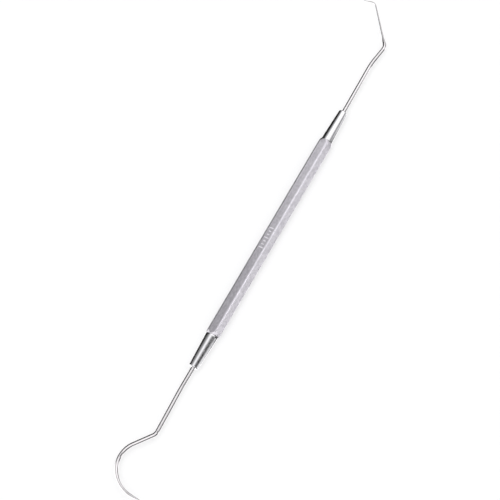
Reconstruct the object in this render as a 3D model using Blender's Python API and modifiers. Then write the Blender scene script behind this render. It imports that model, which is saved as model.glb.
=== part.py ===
"""Double-ended dental explorer: a hexagonal handle, a turned cone pressed into each end of it,
and a bent wire working end held in each cone (a shepherd's hook and an angled probe).

Frame: +X runs along the handle towards the probe, +Z is up, and the handle lies on one flat at
z = 0. The origin is the middle of that flat. Both working ends bend in the plane of the
handle's axis. Lengths are metres.
"""
import math

import bmesh
import bpy

MM = 0.001

# Handle: hexagon bar, turned down at both ends.
ACROSS_FLATS = 4.2 * MM
HANDLE_LENGTH = 70.8 * MM
HANDLE_EDGE_ROUND = 0.16 * MM
END_CHAMFER_LENGTH = 1.25 * MM
END_FACE_RADIUS = 2.04 * MM
SOCKET_RADIUS = 1.20 * MM
SOCKET_DEPTH = 7.5 * MM

# Marks: a row of shallow ticks milled across the top flat near the middle.
TICK_COUNT = 7
TICK_PITCH = 1.15 * MM
TICK_WIDTH = 0.30 * MM
TICK_LONG = 1.5 * MM
TICK_SHORT = 0.9 * MM
TICK_DEPTH = 0.06 * MM
TICK_ROW_X = -1.5 * MM

# Cones: length outside the handle, and what each holds.
CONE_LENGTH = 11.2 * MM
CONE_SHOULDER_GAP = 0.02 * MM
CONE_END_ROUND = 0.28 * MM
SPIGOT_RADIUS = 1.17 * MM
SPIGOT_LENGTH = 7.0 * MM
SPIGOT_CHAMFER = 0.3 * MM
TANG_BORE_RADIUS = 0.605 * MM
TANG_BORE_DEPTH = 8.2 * MM
TANG_LENGTH = 7.8 * MM
DRILL_POINT_ANGLE = math.radians(59.0)

HOOK_CONE_BASE_RADIUS = 1.91 * MM
HOOK_CONE_TIP_RADIUS = 1.49 * MM
PROBE_CONE_BASE_RADIUS = 1.80 * MM
PROBE_CONE_TIP_RADIUS = 1.41 * MM

# Working ends: wire of one diameter, ground down towards the point.
WIRE_RADIUS = 0.58 * MM
ARC_STEP = math.radians(5.0)
SIDES_RESOLUTION = 4

TURNED_STEPS = 64

AXIS_HEIGHT = ACROSS_FLATS / 2
CORNER_RADIUS = ACROSS_FLATS / math.sqrt(3.0)
CONE_END_X = HANDLE_LENGTH / 2 + CONE_SHOULDER_GAP + CONE_LENGTH

STEELS = {
    "satin_steel": ((0.52, 0.51, 0.53), 0.42),
    "polished_steel": ((0.72, 0.72, 0.73), 0.10),
    "wire_steel": ((0.62, 0.61, 0.61), 0.22),
}


def clear_scene():
    for item in list(bpy.data.objects):
        bpy.data.objects.remove(item, do_unlink=True)


def make_collection(name):
    collection = bpy.data.collections.new(name)
    bpy.context.scene.collection.children.link(collection)
    return collection


def make_steel(name):
    colour, roughness = STEELS[name]
    material = bpy.data.materials.new(name)
    material.use_nodes = True
    shader = material.node_tree.nodes["Principled BSDF"]
    shader.inputs["Base Color"].default_value = (*colour, 1.0)
    shader.inputs["Metallic"].default_value = 1.0
    shader.inputs["Roughness"].default_value = roughness
    return material


def add_mesh(name, bm, collection):
    mesh = bpy.data.meshes.new(name)
    bm.to_mesh(mesh)
    bm.free()
    item = bpy.data.objects.new(name, mesh)
    collection.objects.link(item)
    return item


def make_cutter(item):
    item.hide_render = True
    item.display_type = 'WIRE'
    return item


def add_turned(name, profile, collection):
    """Turn a profile of (radius, z) points about local Z. It runs from the top axis point
    down the outer side, and may come back up a bore."""
    bm = bmesh.new()
    corners = [bm.verts.new((radius, 0.0, z)) for radius, z in profile]
    for first, second in zip(corners, corners[1:]):
        bm.edges.new((first, second))
    item = add_mesh(name, bm, collection)
    screw = item.modifiers.new("turn", 'SCREW')
    screw.axis = 'Z'
    screw.steps = TURNED_STEPS
    screw.render_steps = TURNED_STEPS
    screw.use_merge_vertices = True
    screw.merge_threshold = 0.000005
    screw.use_smooth_shade = True
    return item


def shade_round(item):
    """Smooth shading on the turned walls, crisp at the corners."""
    depsgraph = bpy.context.evaluated_depsgraph_get()
    mesh = bpy.data.meshes.new_from_object(item.evaluated_get(depsgraph))
    item.modifiers.clear()
    old = item.data
    item.data = mesh
    bpy.data.meshes.remove(old)
    mesh.shade_smooth()
    mesh.set_sharp_from_angle(angle=math.radians(35.0))


def add_boolean(item, cutter, operation):
    boolean = item.modifiers.new(cutter.name, 'BOOLEAN')
    boolean.operation = operation
    boolean.solver = 'EXACT'
    boolean.object = cutter


def add_end_envelope(collection):
    """The barrel that the lathe leaves: it cuts the six corners back at both ends."""
    half = HANDLE_LENGTH / 2
    beyond_corner = CORNER_RADIUS + 0.05 * MM
    chamfer_start = half - END_CHAMFER_LENGTH
    profile = [
        (0.0, half),
        (END_FACE_RADIUS, half),
        (beyond_corner, chamfer_start),
        (beyond_corner, -chamfer_start),
        (END_FACE_RADIUS, -half),
        (0.0, -half),
    ]
    envelope = add_turned("end_envelope", profile, collection)
    envelope.rotation_euler = (0.0, math.pi / 2, 0.0)
    envelope.location = (0.0, 0.0, AXIS_HEIGHT)
    return make_cutter(envelope)


def add_socket_cutter(side, collection):
    """A blind drilled hole from one end face, with the drill's conical point."""
    mouth = 0.5 * MM
    point = SOCKET_RADIUS / math.tan(DRILL_POINT_ANGLE)
    profile = [
        (0.0, mouth),
        (SOCKET_RADIUS, mouth),
        (SOCKET_RADIUS, -SOCKET_DEPTH),
        (0.0, -SOCKET_DEPTH - point),
    ]
    name = "probe_socket_cutter" if side > 0 else "hook_socket_cutter"
    cutter = add_turned(name, profile, collection)
    cutter.rotation_euler = (0.0, side * math.pi / 2, 0.0)
    cutter.location = (side * HANDLE_LENGTH / 2, 0.0, AXIS_HEIGHT)
    return make_cutter(cutter)


def add_tick_cutter(collection):
    """Bars that mill the marks into the top flat: every third one is long."""
    bm = bmesh.new()
    for index in range(TICK_COUNT):
        across = TICK_LONG if index % 3 == 0 else TICK_SHORT
        made = bmesh.ops.create_cube(bm, size=1.0)["verts"]
        bmesh.ops.scale(bm, verts=made, vec=(TICK_WIDTH, across, 2 * TICK_DEPTH))
        offset = (index - (TICK_COUNT - 1) / 2) * TICK_PITCH
        bmesh.ops.translate(bm, verts=made, vec=(offset, 0.0, 0.0))
    cutter = add_mesh("tick_cutter", bm, collection)
    cutter.location = (TICK_ROW_X, 0.0, ACROSS_FLATS)
    return make_cutter(cutter)


def build_handle(parts, cutters):
    bm = bmesh.new()
    bmesh.ops.create_cone(
        bm, cap_ends=True, cap_tris=False, segments=6,
        radius1=CORNER_RADIUS, radius2=CORNER_RADIUS, depth=HANDLE_LENGTH + 2 * MM)
    handle = add_mesh("handle", bm, parts)
    handle.rotation_euler = (0.0, math.pi / 2, 0.0)
    handle.location = (0.0, 0.0, AXIS_HEIGHT)
    bevel = handle.modifiers.new("edge_round", 'BEVEL')
    bevel.width = HANDLE_EDGE_ROUND
    bevel.segments = 3
    bevel.limit_method = 'ANGLE'
    bevel.angle_limit = math.radians(50.0)
    add_boolean(handle, add_end_envelope(cutters), 'INTERSECT')
    for side in (-1, 1):
        add_boolean(handle, add_socket_cutter(side, cutters), 'DIFFERENCE')
    add_boolean(handle, add_tick_cutter(cutters), 'DIFFERENCE')
    handle.data.materials.append(make_steel("satin_steel"))
    return handle


def cone_profile(base_radius, tip_radius):
    """Local +Z points into the handle, with z = 0 at the shoulder."""
    end = -CONE_LENGTH
    profile = [
        (0.0, SPIGOT_LENGTH),
        (SPIGOT_RADIUS - SPIGOT_CHAMFER, SPIGOT_LENGTH),
        (SPIGOT_RADIUS, SPIGOT_LENGTH - SPIGOT_CHAMFER),
        (SPIGOT_RADIUS, 0.0),
        (base_radius - 0.05 * MM, 0.0),
        (base_radius, -0.05 * MM),
    ]
    for step in range(5):
        angle = math.radians(22.5 * step)
        radius = tip_radius - CONE_END_ROUND * (1.0 - math.cos(angle))
        z = end + CONE_END_ROUND * (1.0 - math.sin(angle))
        profile.append((radius, z))
    bore_floor = end + TANG_BORE_DEPTH
    profile.append((TANG_BORE_RADIUS, end))
    profile.append((TANG_BORE_RADIUS, bore_floor))
    profile.append((0.0, bore_floor + TANG_BORE_RADIUS / math.tan(DRILL_POINT_ANGLE)))
    return profile


def build_cone(name, side, base_radius, tip_radius, material, parts):
    """Side is -1 at the hook end and +1 at the probe end."""
    cone = add_turned(name, cone_profile(base_radius, tip_radius), parts)
    shade_round(cone)
    cone.rotation_euler = (0.0, -side * math.pi / 2, 0.0)
    cone.location = (side * (HANDLE_LENGTH / 2 + CONE_SHOULDER_GAP), 0.0, AXIS_HEIGHT)
    cone.data.materials.append(material)
    return cone


class WireRoute:
    """A wire's centre line in plan, laid as straight runs and arcs, with its radius."""

    def __init__(self, x, heading):
        self.x = x
        self.y = 0.0
        self.heading = heading
        self.radius = WIRE_RADIUS
        self.points = [(x, 0.0, WIRE_RADIUS)]

    def run(self, length, end_radius=None, steps=1):
        """Go straight ahead, tapering evenly to end_radius."""
        self._lay(length, 0.0, end_radius or self.radius, steps)

    def bend(self, bend_radius, turn_degrees, end_radius=None):
        """Turn along an arc, to the left for a positive turn."""
        turn = math.radians(turn_degrees)
        steps = max(2, math.ceil(abs(turn) / ARC_STEP))
        self._lay(bend_radius * abs(turn), turn, end_radius or self.radius, steps)

    def _lay(self, length, turn, end_radius, steps):
        start_radius = self.radius
        half_turn = turn / steps / 2
        chord = length / steps
        if half_turn:
            chord *= math.sin(half_turn) / half_turn
        for step in range(1, steps + 1):
            self.heading += half_turn
            self.x += chord * math.cos(self.heading)
            self.y += chord * math.sin(self.heading)
            self.heading += half_turn
            self.radius = start_radius + (end_radius - start_radius) * step / steps
            self.points.append((self.x, self.y, self.radius))


def route_hook_end():
    """Shank, knee and the opening bow of the shepherd's hook. It heads along -X."""
    route = WireRoute(-(CONE_END_X - TANG_LENGTH), math.pi)
    route.run(TANG_LENGTH + 6.6 * MM)
    route.bend(60.0 * MM, 2.0)
    route.run(12.7 * MM)
    route.bend(2.5 * MM, -41.5, 0.57 * MM)
    route.run(6.4 * MM, 0.56 * MM)
    route.bend(7.3 * MM, 74.0, 0.55 * MM)
    route.bend(9.9 * MM, 52.0, 0.36 * MM)
    route.bend(50.0 * MM, 5.5, 0.06 * MM)
    return route


def route_probe_end():
    """Shank, gentle bend, knee, long thin shaft and the short turned point. It heads +X."""
    route = WireRoute(CONE_END_X - TANG_LENGTH, 0.0)
    route.run(TANG_LENGTH)
    route.bend(200.0 * MM, 0.7)
    route.run(14.8 * MM)
    route.bend(20.0 * MM, -10.0, 0.57 * MM)
    route.run(4.2 * MM, 0.56 * MM)
    route.bend(3.0 * MM, 47.9, 0.50 * MM)
    route.run(1.1 * MM, 0.42 * MM, steps=2)
    route.run(1.0 * MM, 0.26 * MM, steps=2)
    route.run(12.9 * MM, 0.16 * MM, steps=4)
    route.bend(2.0 * MM, 59.3, 0.15 * MM)
    route.run(2.9 * MM, 0.05 * MM, steps=3)
    return route


def build_working_end(name, route, material, parts):
    curve = bpy.data.curves.new(name, 'CURVE')
    curve.dimensions = '3D'
    curve.bevel_depth = WIRE_RADIUS
    curve.bevel_resolution = SIDES_RESOLUTION
    curve.use_fill_caps = True
    spline = curve.splines.new('POLY')
    spline.points.add(len(route.points) - 1)
    for point, (x, y, radius) in zip(spline.points, route.points):
        point.co = (x, y, 0.0, 1.0)
        point.radius = radius / WIRE_RADIUS
    spline.use_smooth = True
    curve.materials.append(material)
    wire = bpy.data.objects.new(name, curve)
    wire.location = (0.0, 0.0, AXIS_HEIGHT)
    parts.objects.link(wire)
    return wire


def main():
    clear_scene()
    parts = make_collection("dental_explorer")
    cutters = make_collection("cutters")
    build_handle(parts, cutters)
    polished = make_steel("polished_steel")
    build_cone("hook_cone", -1, HOOK_CONE_BASE_RADIUS, HOOK_CONE_TIP_RADIUS, polished, parts)
    build_cone("probe_cone", 1, PROBE_CONE_BASE_RADIUS, PROBE_CONE_TIP_RADIUS, polished, parts)
    wire_steel = make_steel("wire_steel")
    build_working_end("hook_working_end", route_hook_end(), wire_steel, parts)
    build_working_end("probe_working_end", route_probe_end(), wire_steel, parts)


main()
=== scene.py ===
"""Looks of the double-ended dental explorer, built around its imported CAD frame.

The frame has +X along the handle towards the probe, +Z up and the origin in the middle of the
flat that the handle lies on. Lengths are metres.
"""

import math

import bmesh
import bpy
from mathutils import Matrix, Vector


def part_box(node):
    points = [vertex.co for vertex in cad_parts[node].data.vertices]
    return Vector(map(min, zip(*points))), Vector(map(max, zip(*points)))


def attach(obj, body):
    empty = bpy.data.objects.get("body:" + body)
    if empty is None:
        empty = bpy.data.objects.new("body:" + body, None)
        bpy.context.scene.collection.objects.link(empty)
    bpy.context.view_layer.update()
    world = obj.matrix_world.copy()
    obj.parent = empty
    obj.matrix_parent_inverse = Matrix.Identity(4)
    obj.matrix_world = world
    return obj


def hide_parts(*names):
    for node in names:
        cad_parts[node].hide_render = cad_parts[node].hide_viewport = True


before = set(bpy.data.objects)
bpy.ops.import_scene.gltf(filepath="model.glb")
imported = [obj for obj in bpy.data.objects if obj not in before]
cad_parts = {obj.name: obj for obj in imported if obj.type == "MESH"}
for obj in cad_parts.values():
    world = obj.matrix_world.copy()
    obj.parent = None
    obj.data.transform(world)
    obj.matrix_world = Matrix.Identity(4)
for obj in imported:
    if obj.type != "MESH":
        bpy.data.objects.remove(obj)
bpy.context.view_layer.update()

MM = 0.001

# Driving sizes, read from the frame.
HANDLE_LOW, HANDLE_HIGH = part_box("handle")
ACROSS_FLATS = HANDLE_HIGH.z - HANDLE_LOW.z
AXIS_HEIGHT = (HANDLE_HIGH.z + HANDLE_LOW.z) / 2
HALF_HANDLE = HANDLE_HIGH.x
CORNER_RADIUS = ACROSS_FLATS / math.sqrt(3.0)
CONE_END_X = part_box("probe_cone")[1].x

# Handle.
EDGE_ROUND = 0.37 * MM
END_CHAMFER_LENGTH = 1.25 * MM
END_FACE_RADIUS = 2.04 * MM
BEYOND_CORNER = 0.05 * MM
EDGE_BREAK = 0.035 * MM
EDGE_BREAK_SINK = 0.2
SOCKET_RADIUS = 1.20 * MM
SOCKET_DEPTH = 7.5 * MM
SOCKET_MOUTH_CHAMFER = 0.08 * MM
FLAT_STEPS = 20
CORNER_STEPS = 8
BAR_STATIONS = 24
HANDLE_SHARP_DEGREES = 24.0

# Ticks milled across the top flat.
TICK_COUNT = 7
LONG_TICK_EVERY = 3
TICK_PITCH = 1.15 * MM
TICK_WIDTH = 0.34 * MM
TICK_FLOOR_WIDTH = 0.10 * MM
TICK_LONG = 1.5 * MM
TICK_SHORT = 0.9 * MM
TICK_DEPTH = 0.06 * MM
TICK_ROW_X = -1.5 * MM

# Cones.
CONE_LENGTH = 11.2 * MM
CONE_END_ROUND = 0.28 * MM
CONE_END_STEPS = 8
CONE_BASE_BREAK = 0.05 * MM
CONE_BASE_BULGE = 0.3
SPIGOT_RADIUS = 1.17 * MM
SPIGOT_LENGTH = 7.0 * MM
SPIGOT_CHAMFER = 0.3 * MM
TANG_BORE_RADIUS = 0.605 * MM
TANG_BORE_DEPTH = 8.2 * MM
TANG_BORE_CHAMFER = 0.04 * MM
TANG_LENGTH = 7.8 * MM
DRILL_POINT_ANGLE = math.radians(59.0)
HOOK_CONE_TIP_RADIUS = 1.49 * MM
PROBE_CONE_TIP_RADIUS = 1.41 * MM
CONE_SIDES = 128
CONE_STATIONS = 28
CONE_SHARP_DEGREES = 32.0

# Working ends. The tang's hidden end is rounded by a share of its radius.
WIRE_RADIUS = 0.58 * MM
WIRE_SIDES = 32
ARC_STEP = math.radians(1.5)
RUN_STEP = 0.5 * MM
CAP_STEPS = 6
TANG_END_ROUND = 0.2
WIRE_SHARP_DEGREES = 50.0

# Wear on the bar's edges starts and is full this far inside the sharp corner.
EDGE_WEAR_START = 0.19 * MM
EDGE_WEAR_FULL = 0.07 * MM

# Camera: where it aims, how far off it stands, its lean and its roll.
CAMERA_AIM = Vector((-6.537 * MM, 3.518 * MM, AXIS_HEIGHT))
CAMERA_DISTANCE = 0.420
CAMERA_LENS = 99.8
CAMERA_SENSOR_WIDTH = 36.0
CAMERA_CLIP_START = 0.01
CAMERA_LEAN_ALONG = math.radians(15.0)
CAMERA_LEAN_ACROSS = math.radians(24.5)
CAMERA_ROLL = math.radians(59.41)

# Floor.
FLOOR_HALF_SIZE = 1.5
FLOOR_GAP = 0.01 * MM
FLOOR_GREY = 0.45
FLOOR_GLOW = 0.545
FLOOR_ROUGHNESS = 0.8
FLOOR_SPECULAR = 0.1

# Lights, powers in watts. A card is (place, size, power).
SOFTBOX_PLACE = (0.02, 0.0, 0.60)
SOFTBOX_SIZE = 0.75
SOFTBOX_POWER = 0.15
BAR_CARDS = {
    "side_card": ((0.08, -0.50, 0.04), (0.40, 0.07), 0.58),
    "low_card": ((0.08, -0.34, -0.30), (0.40, 0.10), 0.55),
    "back_card": ((0.08, 0.50, 0.06), (0.40, 0.10), 0.075),
    "top_card": ((0.08, 0.05, 0.12), (0.08, 0.08), 0.011),
}

# The room that the steel mirrors. A band is (degrees from overhead towards -Y, brightness).
ROOM_BLUE = 1.01
WALL_BANDS = (
    (-180.0, 0.45), (-100.0, 0.12), (-60.0, 0.30), (-20.0, 0.70), (10.0, 0.90), (45.0, 0.55),
    (90.0, 0.14), (140.0, 0.40), (180.0, 0.45))
BOW_BANDS = (
    (-180.0, 1.80), (-66.0, 1.80), (-50.0, 0.60), (-28.0, 0.90), (-7.0, 1.50), (45.0, 1.50),
    (70.0, 0.90), (84.0, 0.03), (160.0, 0.03), (172.0, 1.80), (180.0, 1.80))
HOOK_CONE_BANDS = (
    (-180.0, 1.40), (-142.0, 1.30), (-132.0, 0.03), (-85.0, 0.03), (-54.0, 0.28), (-28.0, 0.60),
    (-7.0, 1.30), (12.0, 1.30), (33.0, 0.40), (50.0, 0.06), (66.0, 0.03), (80.0, 0.13),
    (102.0, 0.85), (122.0, 1.45), (180.0, 1.45))
BAR_BANDS = (
    (-180.0, 1.90), (-144.0, 2.30), (-136.0, 0.02), (-46.0, 0.02), (-34.0, 0.36), (-24.0, 0.74),
    (-8.0, 1.40), (45.0, 1.40), (68.0, 1.00), (82.0, 1.00), (92.0, 0.02), (165.0, 0.02),
    (172.0, 1.60), (180.0, 1.90))
PROBE_CONE_BANDS = (
    (-180.0, 1.40), (-142.0, 1.30), (-132.0, 0.02), (-72.0, 0.02), (-44.0, 0.24), (-19.0, 0.95),
    (5.0, 1.85), (30.0, 1.85), (56.0, 1.40), (71.0, 0.70), (79.0, 0.28), (89.0, 0.28),
    (100.0, 0.80), (114.0, 1.50), (180.0, 1.60))
FAR_BANDS = (
    (-180.0, 1.30), (-142.0, 1.20), (-132.0, 0.03), (-68.0, 0.03), (-44.0, 0.40), (-20.0, 1.10),
    (5.0, 1.40), (58.0, 1.30), (78.0, 0.60), (92.0, 0.03), (158.0, 0.03), (170.0, 1.30),
    (180.0, 1.30))

# The room's zones after the wall at -X. Each fades in between two values of the mirrored
# direction's X. A cone's slope makes it mirror another zone than the bar beside it.
ROOM_ZONES = (
    ((-0.88, -0.74), BOW_BANDS),
    ((-0.14, -0.03), HOOK_CONE_BANDS),
    ((0.13, 0.16), BAR_BANDS),
    ((0.38, 0.42), PROBE_CONE_BANDS),
    ((0.58, 0.70), FAR_BANDS),
    ((0.86, 0.94), WALL_BANDS))
WHITE = (1.0, 1.0, 1.0)


# ---------------------------------------------------------------- mesh helpers

def add_piece(name, bm, node, materials):
    """An object that rides on the one body and stands for one CAD node."""
    bmesh.ops.recalc_face_normals(bm, faces=bm.faces)
    mesh = bpy.data.meshes.new(name)
    bm.to_mesh(mesh)
    bm.free()
    for material in materials:
        mesh.materials.append(material)
    item = bpy.data.objects.new(name, mesh)
    bpy.context.scene.collection.objects.link(item)
    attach(item, "root")
    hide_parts(node)
    return item


def shade(item, sharp_degrees):
    item.data.shade_smooth()
    item.data.set_sharp_from_angle(angle=math.radians(sharp_degrees))


def skin_rings(bm, rings, kinds=None):
    """Quads between closed rings of points. A ring of one point is an apex. kinds gives the
    material index of each band."""
    rows = [[bm.verts.new(point) for point in ring] for ring in rings]
    for band, (first, second) in enumerate(zip(rows, rows[1:])):
        count = max(len(first), len(second))
        for side in range(count):
            after = (side + 1) % count
            if len(first) == 1:
                corners = (first[0], second[side], second[after])
            elif len(second) == 1:
                corners = (first[side], second[0], first[after])
            else:
                corners = (first[side], second[side], second[after], first[after])
            face = bm.faces.new(corners)
            if kinds:
                face.material_index = kinds[band]


def axis_circle(x, radius, sides):
    """A ring of points round the instrument's axis."""
    ring = []
    for step in range(sides):
        angle = 2.0 * math.pi * step / sides
        ring.append((x, radius * math.sin(angle), AXIS_HEIGHT + radius * math.cos(angle)))
    return ring


# ---------------------------------------------------------------- handle

def hexagon_outline():
    """(angle from the top, radius) round the bar: six flats with rounded corners."""
    apothem = ACROSS_FLATS / 2
    inset = apothem - EDGE_ROUND
    half_flat = inset * math.tan(math.radians(30.0))
    points = []
    for flat in range(6):
        facing = Matrix.Rotation(math.radians(60.0 * flat), 3, 'Z')
        for step in range(FLAT_STEPS + 1):
            along = half_flat * (2.0 * step / FLAT_STEPS - 1.0)
            points.append(facing @ Vector((apothem, along, 0.0)))
        for step in range(1, CORNER_STEPS):
            turned = math.radians(60.0 * step / CORNER_STEPS)
            rounded = Vector((math.cos(turned), math.sin(turned), 0.0)) * EDGE_ROUND
            points.append(facing @ (Vector((inset, half_flat, 0.0)) + rounded))
    return [(math.atan2(point.y, point.x), point.length) for point in points]


def place_ring(outline, place):
    """place(radius) gives the (x, radius) of each point of the outline."""
    ring = []
    for angle, radius in outline:
        x, reach = place(radius)
        ring.append((x, reach * math.sin(angle), AXIS_HEIGHT + reach * math.cos(angle)))
    return ring


def handle_end(outline):
    """(ring, material index) from the bar out over the turned chamfer, across the end face and
    down the socket, at the +X end."""
    slope = (CORNER_RADIUS + BEYOND_CORNER - END_FACE_RADIUS) / END_CHAMFER_LENGTH

    def edge(offset, sink):
        def place(radius):
            at = HALF_HANDLE - (radius - END_FACE_RADIUS) / slope + offset
            return at, radius - sink
        return place_ring(outline, place)

    def circle(x, radius):
        return place_ring(outline, lambda _: (x, radius))

    drill_point = SOCKET_RADIUS / math.tan(DRILL_POINT_ANGLE)
    floor_x = HALF_HANDLE - SOCKET_DEPTH
    return [
        (edge(-EDGE_BREAK, 0.0), 0),
        (edge(0.0, EDGE_BREAK_SINK * EDGE_BREAK), 1),
        (edge(EDGE_BREAK, slope * EDGE_BREAK), 1),
        (circle(HALF_HANDLE - EDGE_BREAK, END_FACE_RADIUS), 1),
        (circle(HALF_HANDLE, END_FACE_RADIUS - EDGE_BREAK), 1),
        (circle(HALF_HANDLE, SOCKET_RADIUS + SOCKET_MOUTH_CHAMFER), 1),
        (circle(HALF_HANDLE - SOCKET_MOUTH_CHAMFER, SOCKET_RADIUS), 1),
        (circle(floor_x, SOCKET_RADIUS), 1),
        ([(floor_x - drill_point, 0.0, AXIS_HEIGHT)], 1),
    ]


def build_handle(satin, turned, mark):
    """The bar from socket to socket: half of its rings, and the same rings mirrored."""
    outline = hexagon_outline()
    straight = HALF_HANDLE - END_CHAMFER_LENGTH - 2 * EDGE_BREAK
    half = []
    for station in range(BAR_STATIONS + 1):
        x = straight * station / BAR_STATIONS
        half.append((place_ring(outline, lambda radius, x=x: (x, radius)), 0))
    half += handle_end(outline)
    other = [([(-x, y, z) for x, y, z in ring], kind) for ring, kind in reversed(half)]
    rings = [ring for ring, _ in other[:-1]] + [ring for ring, _ in half]
    kinds = [kind for _, kind in other[:-1]] + [kind for _, kind in half[1:]]
    bm = bmesh.new()
    skin_rings(bm, rings, kinds)
    handle = add_piece("hex_handle", bm, "handle", (satin, turned, mark))
    engrave_ticks(handle, mark)
    shade(handle, HANDLE_SHARP_DEGREES)
    return handle


def tick_cutter(mark):
    """A row of wedges. Each stands as far above the flat as it cuts below it, so its walls
    spread by the same again."""
    bm = bmesh.new()
    spread = TICK_WIDTH - TICK_FLOOR_WIDTH
    for index in range(TICK_COUNT):
        across = TICK_SHORT if index % LONG_TICK_EVERY else TICK_LONG
        centre = TICK_ROW_X + (index - (TICK_COUNT - 1) / 2) * TICK_PITCH
        rings = []
        for width, length, z in (
                (TICK_FLOOR_WIDTH, across - TICK_WIDTH, ACROSS_FLATS - TICK_DEPTH),
                (TICK_WIDTH + spread, across + spread, ACROSS_FLATS + TICK_DEPTH)):
            rings.append([
                bm.verts.new((centre + sx * width / 2, sy * length / 2, z))
                for sx, sy in ((-1, -1), (1, -1), (1, 1), (-1, 1))])
        floor, top = rings
        bm.faces.new(list(reversed(floor)))
        bm.faces.new(top)
        for side in range(4):
            after = (side + 1) % 4
            bm.faces.new((floor[side], floor[after], top[after], top[side]))
    mesh = bpy.data.meshes.new("tick_cutter")
    bm.to_mesh(mesh)
    bm.free()
    mesh.materials.append(mark)
    cutter = bpy.data.objects.new("tick_cutter", mesh)
    bpy.context.scene.collection.objects.link(cutter)
    return cutter


def engrave_ticks(handle, mark):
    """Cut the row of ticks, each a shallow groove with sloping walls, into the top flat."""
    cutter = tick_cutter(mark)
    boolean = handle.modifiers.new("ticks", 'BOOLEAN')
    boolean.operation = 'DIFFERENCE'
    boolean.solver = 'EXACT'
    boolean.material_mode = 'TRANSFER'
    boolean.object = cutter
    depsgraph = bpy.context.evaluated_depsgraph_get()
    cut = bpy.data.meshes.new_from_object(handle.evaluated_get(depsgraph))
    handle.modifiers.clear()
    cut.name = handle.data.name
    handle.data = cut
    bpy.data.objects.remove(cutter)


# ---------------------------------------------------------------- cones

def cone_profile(base_radius, tip_radius):
    """(distance out from the shoulder, radius), from the spigot's end to the bore's point."""
    bulge = CONE_BASE_BULGE * CONE_BASE_BREAK
    profile = [
        (-SPIGOT_LENGTH, 0.0),
        (-SPIGOT_LENGTH, SPIGOT_RADIUS - SPIGOT_CHAMFER),
        (SPIGOT_CHAMFER - SPIGOT_LENGTH, SPIGOT_RADIUS),
        (0.0, SPIGOT_RADIUS),
        (0.0, base_radius - CONE_BASE_BREAK),
        (bulge, base_radius - bulge),
    ]
    slope_length = CONE_LENGTH - CONE_END_ROUND - CONE_BASE_BREAK
    for station in range(CONE_STATIONS + 1):
        share = station / CONE_STATIONS
        x = CONE_BASE_BREAK + slope_length * share
        profile.append((x, base_radius + (tip_radius - base_radius) * share))
    for step in range(1, CONE_END_STEPS + 1):
        angle = math.radians(90.0 * step / CONE_END_STEPS)
        profile.append((
            CONE_LENGTH - CONE_END_ROUND * (1.0 - math.sin(angle)),
            tip_radius - CONE_END_ROUND * (1.0 - math.cos(angle))))
    floor = CONE_LENGTH - TANG_BORE_DEPTH
    profile.append((CONE_LENGTH, TANG_BORE_RADIUS + TANG_BORE_CHAMFER))
    profile.append((CONE_LENGTH - TANG_BORE_CHAMFER, TANG_BORE_RADIUS))
    profile.append((floor, TANG_BORE_RADIUS))
    profile.append((floor - TANG_BORE_RADIUS / math.tan(DRILL_POINT_ANGLE), 0.0))
    return profile


def build_cone(name, node, side, tip_radius, material):
    """Side is -1 at the hook end and +1 at the probe end."""
    low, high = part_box(node)
    base_radius = (high.z - low.z) / 2
    shoulder = side * (CONE_END_X - CONE_LENGTH)
    rings = []
    for out, radius in cone_profile(base_radius, tip_radius):
        x = shoulder + side * out
        if radius == 0.0:
            rings.append([(x, 0.0, AXIS_HEIGHT)])
        else:
            rings.append(axis_circle(x, radius, CONE_SIDES))
    bm = bmesh.new()
    skin_rings(bm, rings)
    cone = add_piece(name, bm, node, (material,))
    shade(cone, CONE_SHARP_DEGREES)


# ---------------------------------------------------------------- working ends

class WireRoute:
    """A wire's centre line in plan, laid as straight runs and arcs, with its radius and the
    length laid so far: points of (x, y, heading, radius, length)."""

    def __init__(self, x, heading):
        self.x = x
        self.y = 0.0
        self.heading = heading
        self.radius = WIRE_RADIUS
        self.length = 0.0
        self.points = [(x, 0.0, heading, WIRE_RADIUS, 0.0)]

    def run(self, length, end_radius=None):
        """Go straight ahead, tapering evenly to end_radius."""
        self._lay(length, 0.0, end_radius or self.radius, max(1, math.ceil(length / RUN_STEP)))

    def bend(self, bend_radius, turn_degrees, end_radius=None):
        """Turn along an arc, to the left for a positive turn."""
        turn = math.radians(turn_degrees)
        steps = max(2, math.ceil(abs(turn) / ARC_STEP))
        self._lay(bend_radius * abs(turn), turn, end_radius or self.radius, steps)

    def _lay(self, length, turn, end_radius, steps):
        start_radius = self.radius
        half_turn = turn / steps / 2
        chord = length / steps
        if half_turn:
            chord *= math.sin(half_turn) / half_turn
        for step in range(1, steps + 1):
            self.heading += half_turn
            self.x += chord * math.cos(self.heading)
            self.y += chord * math.sin(self.heading)
            self.heading += half_turn
            self.length += length / steps
            self.radius = start_radius + (end_radius - start_radius) * step / steps
            self.points.append((self.x, self.y, self.heading, self.radius, self.length))


def route_hook_end():
    """Shank, knee and the opening bow of the shepherd's hook. It heads along -X."""
    route = WireRoute(-(CONE_END_X - TANG_LENGTH), math.pi)
    route.run(TANG_LENGTH + 6.6 * MM)
    route.bend(60.0 * MM, 2.0)
    route.run(12.7 * MM)
    route.bend(2.5 * MM, -41.5, 0.57 * MM)
    route.run(6.4 * MM, 0.56 * MM)
    route.bend(7.3 * MM, 74.0, 0.55 * MM)
    route.bend(9.9 * MM, 52.0, 0.36 * MM)
    route.bend(50.0 * MM, 5.5, 0.06 * MM)
    return route


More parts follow.
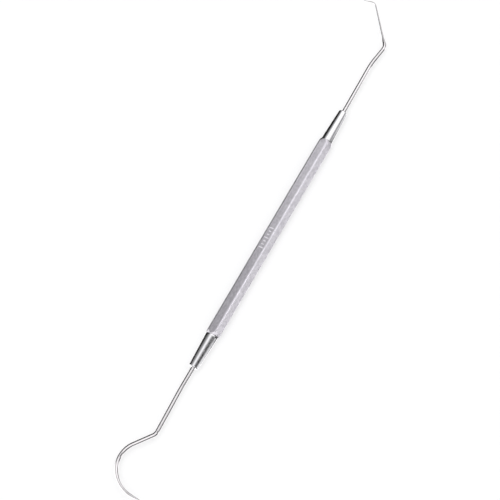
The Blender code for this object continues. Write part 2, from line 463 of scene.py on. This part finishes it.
def route_probe_end():
    """Shank, gentle bend, knee, long thin shaft and the short turned point. It heads +X."""
    route = WireRoute(CONE_END_X - TANG_LENGTH, 0.0)
    route.run(TANG_LENGTH)
    route.bend(200.0 * MM, 0.7)
    route.run(14.8 * MM)
    route.bend(20.0 * MM, -10.0, 0.57 * MM)
    route.run(4.2 * MM, 0.56 * MM)
    route.bend(3.0 * MM, 47.9, 0.50 * MM)
    route.run(1.1 * MM, 0.42 * MM)
    route.run(1.0 * MM, 0.26 * MM)
    route.run(12.9 * MM, 0.16 * MM)
    route.bend(2.0 * MM, 59.3, 0.15 * MM)
    route.run(2.9 * MM, 0.05 * MM)
    return route


def wire_stations(route):
    """The route's points, with a rounded cap laid at each end inside its length, and the tip."""
    x, y, heading, radius, _ = route.points[0]
    stations = []
    for step in range(CAP_STEPS):
        angle = math.radians(90.0 * step / CAP_STEPS)
        ahead = TANG_END_ROUND * radius * (1.0 - math.cos(angle))
        share = 1.0 - TANG_END_ROUND * (1.0 - math.sin(angle))
        stations.append((
            x + ahead * math.cos(heading), y + ahead * math.sin(heading),
            heading, radius * share, ahead))
    stations += [point for point in route.points if point[4] > TANG_END_ROUND * radius]
    x, y, heading, radius, length = stations.pop()
    for step in range(CAP_STEPS):
        angle = math.radians(90.0 * step / CAP_STEPS)
        back = radius * (1.0 - math.sin(angle))
        stations.append((
            x - back * math.cos(heading), y - back * math.sin(heading),
            heading, radius * math.cos(angle), length - back))
    return stations, (x, y, AXIS_HEIGHT)


def build_wire(name, node, route, material):
    """A round wire swept along its route. Its lay attribute holds the length along the wire and
    the place round it, for the drawn grain."""
    stations, tip = wire_stations(route)
    start_x, start_y = stations[0][:2]
    rings = [[(start_x, start_y, AXIS_HEIGHT)]]
    lay = [(0.0, 0.0, 0.0)]
    for x, y, heading, radius, length in stations:
        ring = []
        for step in range(WIRE_SIDES):
            angle = 2.0 * math.pi * step / WIRE_SIDES
            out = radius * math.cos(angle)
            up = radius * math.sin(angle)
            ring.append((
                x - out * math.sin(heading), y + out * math.cos(heading), AXIS_HEIGHT + up))
            lay.append((length, out, up))
        rings.append(ring)
    rings.append([tip])
    lay.append((stations[-1][4], 0.0, 0.0))
    bm = bmesh.new()
    skin_rings(bm, rings)
    wire = add_piece(name, bm, node, (material,))
    attribute = wire.data.attributes.new("lay", 'FLOAT_VECTOR', 'POINT')
    for item, value in zip(attribute.data, lay):
        item.vector = value
    shade(wire, WIRE_SHARP_DEGREES)


# ---------------------------------------------------------------- node helpers

class Nodes:
    """A node tree with short ways to add its nodes. A source is another node's output, a number
    or a colour."""

    def __init__(self, tree):
        self.tree = tree

    def feed(self, socket, source):
        if isinstance(source, bpy.types.NodeSocket):
            self.tree.links.new(source, socket)
        elif isinstance(source, tuple):
            socket.default_value = (*source, 1.0)
        else:
            socket.default_value = source

    def add(self, kind, *sources, **values):
        """A node with its settings and its first inputs."""
        node = self.tree.nodes.new(kind)
        for key, value in values.items():
            setattr(node, key, value)
        for socket, source in zip(node.inputs, sources):
            self.feed(socket, source)
        return node

    def math(self, operation, *sources):
        return self.add("ShaderNodeMath", *sources, operation=operation).outputs[0]

    def total(self, *shares):
        """The sum of (value, share) pairs."""
        parts = [self.math('MULTIPLY', value, share) for value, share in shares]
        result = parts[0]
        for part in parts[1:]:
            result = self.math('ADD', result, part)
        return result

    def span(self, value, low, high, from_low=0.3, from_high=0.7):
        """Spread a value from its usual range to low ... high."""
        node = self.add("ShaderNodeMapRange", value, from_low, from_high, low, high)
        return node.outputs["Result"]

    def ramp(self, value, stops):
        """A colour read along (position, colour) stops."""
        node = self.add("ShaderNodeValToRGB", value)
        elements = node.color_ramp.elements
        while len(elements) < len(stops):
            elements.new(0.5)
        for element, (position, colour) in zip(elements, stops):
            element.position = position
            element.color = (*colour, 1.0)
        return node.outputs["Color"]

    def mix(self, factor, first, second):
        """One colour faded into another. Inputs 6 and 7 are the colours of a Mix node."""
        node = self.add("ShaderNodeMix", factor, data_type='RGBA')
        self.feed(node.inputs[6], first)
        self.feed(node.inputs[7], second)
        return node.outputs[2]


# ---------------------------------------------------------------- materials

class Steel(Nodes):
    """A metallic Principled material."""

    def __init__(self, name):
        self.material = bpy.data.materials.new(name)
        self.material.use_nodes = True
        super().__init__(self.material.node_tree)
        self.shader = self.tree.nodes["Principled BSDF"]
        self.shader.inputs["Metallic"].default_value = 1.0

    def stretched(self, coordinates, scale):
        """Coordinates in millimetres, stretched by scale."""
        mapping = self.add("ShaderNodeMapping", coordinates)
        mapping.inputs["Scale"].default_value = [value / MM for value in scale]
        return mapping.outputs["Vector"]

    def place(self, scale):
        """The object's own coordinates."""
        return self.stretched(self.add("ShaderNodeTexCoord").outputs["Object"], scale)

    def lay(self, scale):
        """The length along the wire and the place round it."""
        attribute = self.add("ShaderNodeAttribute", attribute_name="lay")
        return self.stretched(attribute.outputs["Vector"], scale)

    def noise(self, vector, detail=3.0, roughness=0.55):
        noise = self.add("ShaderNodeTexNoise")
        noise.inputs["Scale"].default_value = 1.0
        noise.inputs["Detail"].default_value = detail
        noise.inputs["Roughness"].default_value = roughness
        self.feed(noise.inputs["Vector"], vector)
        return noise.outputs["Fac"]

    def bump(self, height, distance, strength=1.0, after=None):
        node = self.add("ShaderNodeBump")
        node.inputs["Strength"].default_value = strength
        node.inputs["Distance"].default_value = distance
        self.feed(node.inputs["Height"], height)
        if after is not None:
            self.feed(node.inputs["Normal"], after)
        return node.outputs["Normal"]

    def set(self, socket, source):
        self.feed(self.shader.inputs[socket], source)


def make_satin_steel():
    """Fine blasted and drawn finish of the bar: even, with soft cloudiness, faint drawn lines,
    small pits, and the six edges worn brighter."""
    steel = Steel("satin_steel")
    cloud = steel.noise(steel.place((0.22, 0.5, 0.5)), 4.0, 0.6)
    grain = steel.noise(steel.place((3.4, 3.4, 3.4)), 3.0, 0.6)
    drawn = steel.noise(steel.place((0.6, 16.0, 16.0)), 2.0, 0.5)
    patches = steel.noise(steel.place((1.1, 1.7, 1.7)), 3.0, 0.65)
    mottled = steel.total((cloud, 0.25), (grain, 0.25), (patches, 0.5))
    base = steel.ramp(mottled, (
        (0.40, (0.360, 0.347, 0.375)),
        (0.60, (0.490, 0.475, 0.507))))
    worn = edge_wear(steel)
    steel.set("Base Color", steel.mix(worn, base, (0.58, 0.565, 0.605)))
    roughness = steel.span(mottled, 0.31, 0.38, 0.36, 0.64)
    polish = steel.math('MULTIPLY', worn, 0.07)
    steel.set("Roughness", steel.math('SUBTRACT', roughness, polish))
    pits = steel.bump(grain, 0.012 * MM, 0.6)
    steel.set("Normal", steel.bump(drawn, 0.002 * MM, 0.5, pits))
    return steel.material


def edge_wear(steel):
    """1 along the bar's six edges and 0 on its flats, broken up along the length."""
    coordinates = steel.add("ShaderNodeTexCoord")
    split = steel.add("ShaderNodeSeparateXYZ", coordinates.outputs["Object"])
    up = steel.math('SUBTRACT', split.outputs["Z"], AXIS_HEIGHT)
    across = steel.math('MULTIPLY', split.outputs["Y"], split.outputs["Y"])
    height = steel.math('MULTIPLY', up, up)
    reach = steel.math('SQRT', steel.math('ADD', across, height))
    near = steel.span(
        reach, 0.0, 1.0, CORNER_RADIUS - EDGE_WEAR_START, CORNER_RADIUS - EDGE_WEAR_FULL)
    patchy = steel.span(steel.noise(steel.place((0.8, 1.6, 1.6)), 3.0), 0.45, 1.0)
    return steel.math('MULTIPLY', near, patchy)


def make_turned_steel():
    """Lathe finish of the handle's ends: fine rings round the axis."""
    steel = Steel("turned_steel")
    rings = steel.noise(steel.place((14.0, 0.5, 0.5)), 2.0)
    steel.set("Base Color", steel.ramp(rings, (
        (0.35, (0.58, 0.56, 0.595)),
        (0.65, (0.68, 0.66, 0.695)))))
    steel.set("Roughness", steel.span(rings, 0.28, 0.38))
    steel.set("Normal", steel.bump(rings, 0.004 * MM, 0.6))
    return steel.material


def make_mark_steel():
    """Frosted floor and walls of the milled ticks."""
    steel = Steel("mark_steel")
    grain = steel.noise(steel.place((7.0, 7.0, 7.0)), 3.0)
    steel.set("Base Color", steel.ramp(grain, (
        (0.35, (0.74, 0.725, 0.755)),
        (0.65, (0.84, 0.825, 0.855)))))
    steel.set("Roughness", steel.span(grain, 0.58, 0.70))
    steel.set("Normal", steel.bump(grain, 0.01 * MM, 0.8))
    return steel.material


def make_polished_steel():
    """Turned and polished cones: near mirror, with faint rings left by the lathe, wipe marks and
    a little waviness."""
    steel = Steel("polished_steel")
    rings = steel.noise(steel.place((9.0, 0.35, 0.35)), 3.0, 0.6)
    waves = steel.noise(steel.place((0.9, 0.9, 0.9)), 2.0, 0.5)
    smears = steel.noise(steel.place((1.4, 2.6, 2.6)), 4.0, 0.65)
    steel.set("Base Color", steel.ramp(smears, (
        (0.35, (0.66, 0.655, 0.67)),
        (0.65, (0.72, 0.715, 0.73)))))
    steel.set("Roughness", steel.span(smears, 0.075, 0.15))
    wavy = steel.bump(waves, 0.02 * MM, 0.5)
    steel.set("Normal", steel.bump(rings, 0.0016 * MM, 0.7, wavy))
    return steel.material


def make_wire_steel():
    """Drawn and polished spring wire: fine lines along its length, and small dull patches."""
    steel = Steel("wire_steel")
    lines = steel.noise(steel.lay((0.5, 14.0, 14.0)), 3.0, 0.6)
    patches = steel.noise(steel.lay((0.9, 1.8, 1.8)), 4.0, 0.65)
    steel.set("Base Color", steel.ramp(patches, (
        (0.35, (0.62, 0.60, 0.61)),
        (0.65, (0.70, 0.68, 0.685)))))
    steel.set("Roughness", steel.span(patches, 0.07, 0.13))
    steel.set("Normal", steel.bump(lines, 0.002 * MM, 0.6))
    return steel.material


# ---------------------------------------------------------------- studio

def build_floor():
    """A plain white table. The steel mirrors the room's bands in its place."""
    bm = bmesh.new()
    bmesh.ops.create_grid(bm, x_segments=1, y_segments=1, size=FLOOR_HALF_SIZE)
    mesh = bpy.data.meshes.new("floor")
    bm.to_mesh(mesh)
    bm.free()
    floor = bpy.data.objects.new("floor", mesh)
    bpy.context.scene.collection.objects.link(floor)
    floor.location.z = HANDLE_LOW.z - FLOOR_GAP
    material = bpy.data.materials.new("floor_white")
    material.use_nodes = True
    shader = material.node_tree.nodes["Principled BSDF"]
    shader.inputs["Base Color"].default_value = (FLOOR_GREY, FLOOR_GREY, FLOOR_GREY, 1.0)
    shader.inputs["Roughness"].default_value = FLOOR_ROUGHNESS
    shader.inputs["Specular IOR Level"].default_value = FLOOR_SPECULAR
    shader.inputs["Emission Color"].default_value = (*WHITE, 1.0)
    shader.inputs["Emission Strength"].default_value = FLOOR_GLOW
    mesh.materials.append(material)
    floor.visible_glossy = False


def add_area_light(name, shape, place, size, power):
    """An unseen area light that faces the origin."""
    light = bpy.data.lights.new(name, 'AREA')
    light.shape = shape
    light.size, light.size_y = size
    light.energy = power
    lamp = bpy.data.objects.new(name, light)
    lamp.location = place
    lamp.rotation_euler = Vector(place).to_track_quat('Z', 'Y').to_euler()
    lamp.visible_camera = False
    bpy.context.scene.collection.objects.link(lamp)
    return lamp


def build_softbox():
    """Lights the floor and casts the soft shadow. The steel mirrors the room instead."""
    size = (SOFTBOX_SIZE, SOFTBOX_SIZE)
    softbox = add_area_light("softbox", 'SQUARE', SOFTBOX_PLACE, size, SOFTBOX_POWER)
    softbox.visible_glossy = False


def build_bar_cards(handle):
    """Cards that light only the bar, and that only the bar shades: one on the -Y side for its
    near facet, one below table height for its near edge, one behind for its far edge, and one
    over the probe end, so that the top flat brightens there."""
    lit = bpy.data.collections.new("lit_by_bar_cards")
    lit.objects.link(handle)
    for name, (place, size, power) in BAR_CARDS.items():
        card = add_area_light(name, 'RECTANGLE', place, size, power)
        card.light_linking.receiver_collection = lit
        card.light_linking.blocker_collection = lit


def room_bands(room, turn, bands):
    """Grey levels, slightly blue, read round the X axis."""
    return room.ramp(turn, [
        ((degrees + 180.0) / 360.0, (level, level, level * ROOM_BLUE))
        for degrees, level in bands])


def build_room():
    """What the steel mirrors, zone by zone from -X to +X: grey end walls and, between them, a
    bright ceiling, dark sides and a white table. The camera sees a white backdrop."""
    world = bpy.data.worlds.new("room")
    bpy.context.scene.world = world
    world.use_nodes = True
    room = Nodes(world.node_tree)
    coordinates = room.add("ShaderNodeTexCoord")
    split = room.add("ShaderNodeSeparateXYZ", coordinates.outputs["Generated"])
    aside = room.math('MULTIPLY', split.outputs["Y"], -1.0)
    around = room.math('ARCTAN2', aside, split.outputs["Z"])
    turn = room.span(around, 0.0, 1.0, -math.pi, math.pi)
    seen = room_bands(room, turn, WALL_BANDS)
    for (fade_from, fade_to), bands in ROOM_ZONES:
        ahead = room.span(split.outputs["X"], 0.0, 1.0, fade_from, fade_to)
        seen = room.mix(ahead, seen, room_bands(room, turn, bands))
    path = room.add("ShaderNodeLightPath")
    background = world.node_tree.nodes["Background"]
    shown = room.mix(path.outputs["Is Camera Ray"], seen, WHITE)
    room.feed(background.inputs["Color"], shown)
    background.inputs["Strength"].default_value = 1.0


def build_camera():
    """The camera, leaning along and across the handle, and rolled about its own axis."""
    back = Vector((
        -math.sin(CAMERA_LEAN_ALONG),
        -math.cos(CAMERA_LEAN_ALONG) * math.sin(CAMERA_LEAN_ACROSS),
        math.cos(CAMERA_LEAN_ALONG) * math.cos(CAMERA_LEAN_ACROSS)))
    along = Vector((1.0, 0.0, 0.0))
    along = (along - back * along.dot(back)).normalized()
    aside = back.cross(along)
    right = math.cos(CAMERA_ROLL) * along - math.sin(CAMERA_ROLL) * aside
    up = math.sin(CAMERA_ROLL) * along + math.cos(CAMERA_ROLL) * aside
    data = bpy.data.cameras.new("camera")
    data.lens = CAMERA_LENS
    data.sensor_width = CAMERA_SENSOR_WIDTH
    data.clip_start = CAMERA_CLIP_START
    camera = bpy.data.objects.new("camera", data)
    bpy.context.scene.collection.objects.link(camera)
    turn = Matrix((right, up, back)).transposed().to_4x4()
    camera.matrix_world = Matrix.Translation(CAMERA_AIM + CAMERA_DISTANCE * back) @ turn
    bpy.context.scene.camera = camera


def main():
    handle = build_handle(make_satin_steel(), make_turned_steel(), make_mark_steel())
    polished = make_polished_steel()
    build_cone("turned_hook_cone", "hook_cone", -1, HOOK_CONE_TIP_RADIUS, polished)
    build_cone("turned_probe_cone", "probe_cone", 1, PROBE_CONE_TIP_RADIUS, polished)
    drawn = make_wire_steel()
    build_wire("hook_wire", "hook_working_end", route_hook_end(), drawn)
    build_wire("probe_wire", "probe_working_end", route_probe_end(), drawn)
    build_floor()
    build_softbox()
    build_bar_cards(handle)
    build_room()
    build_camera()
    bpy.context.scene.view_settings.view_transform = 'Standard'


main()
